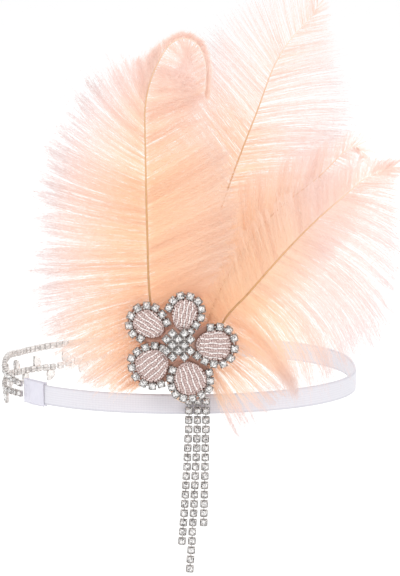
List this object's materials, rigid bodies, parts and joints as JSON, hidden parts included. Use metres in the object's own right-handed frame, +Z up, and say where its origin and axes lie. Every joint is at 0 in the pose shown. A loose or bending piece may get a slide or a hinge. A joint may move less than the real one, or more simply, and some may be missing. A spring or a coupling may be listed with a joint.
{
  "type": "flapper feather headband",
  "caption": "Elastic headband closed by rhinestone chains, with a beaded flower, ostrich plumes and hanging rhinestone strands on one side.",
  "frame": {"origin": "middle of the head loop, halfway up the elastic, where the head sits in it", "axes": "+Z up out of the head loop, -Y towards the flower and plumes, -X towards the rhinestone chains that close the loop"},
  "size_m": [0.2027, 0.176, 0.2903],
  "materials": {
    "elastic": "white woven elastic with a satin face",
    "ribbon": "folded white satin ribbon",
    "felt": "soft felt",
    "feather": "soft ostrich barbs on a smooth quill",
    "petal_fabric": "matte cloth",
    "beads": "rows of silver-lined glass beads",
    "rhinestone": "clear cut stones in silver cups"
  },
  "bodies": {
    "root": {"elastic_band": "elastic", "end_tab_near": "ribbon", "end_tab_far": "ribbon", "cup_chain": "rhinestone", "leaf_chain": "rhinestone", "felt_patch": "felt", "plume_left": "feather", "plume_right": "feather", "plume_curl": "feather", "plume_top": "feather", "strand_left": "rhinestone", "strand_middle": "rhinestone", "strand_right": "rhinestone", "petal_fabric": "petal_fabric", "petal_top": "beads", "petal_upper_left": "beads", "petal_lower_left": "beads", "petal_bottom": "beads", "petal_right": "beads", "rim_top": "rhinestone", "rim_upper_left": "rhinestone", "rim_lower_left": "rhinestone", "rim_bottom": "rhinestone", "rim_right": "rhinestone", "flower_centre": "rhinestone"}
  },
  "joints": []
}
